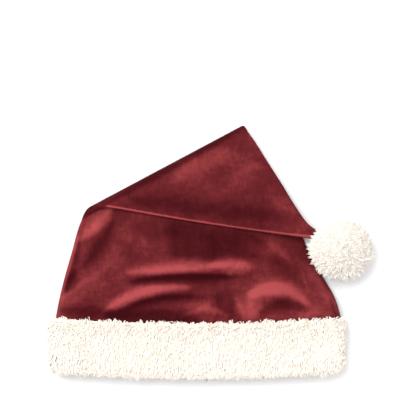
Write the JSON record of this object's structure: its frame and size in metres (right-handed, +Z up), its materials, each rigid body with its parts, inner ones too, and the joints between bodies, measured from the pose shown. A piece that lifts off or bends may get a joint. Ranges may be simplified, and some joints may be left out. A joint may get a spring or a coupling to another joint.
{
  "type": "santa hat",
  "caption": "Velvet cone hat lying flat, its upper part folded over the front, with a deep plush brim band and a plush pompom at the tip.",
  "frame": {"origin": "on the floor under the middle of the hat's bounding box, with the hat lying on its back", "axes": "+X across the hat towards the pompom, +Y from the mouth towards the peak of the fold, +Z up from the floor"},
  "size_m": [0.324, 0.2516, 0.0603],
  "materials": {
    "velvet": "short-pile burgundy velvet",
    "brim_plush": "off-white long-pile plush",
    "pompom_plush": "off-white long-pile plush in tufts"
  },
  "bodies": {
    "root": {"crown": "velvet", "brim": "brim_plush", "pompom": "pompom_plush"}
  },
  "joints": []
}
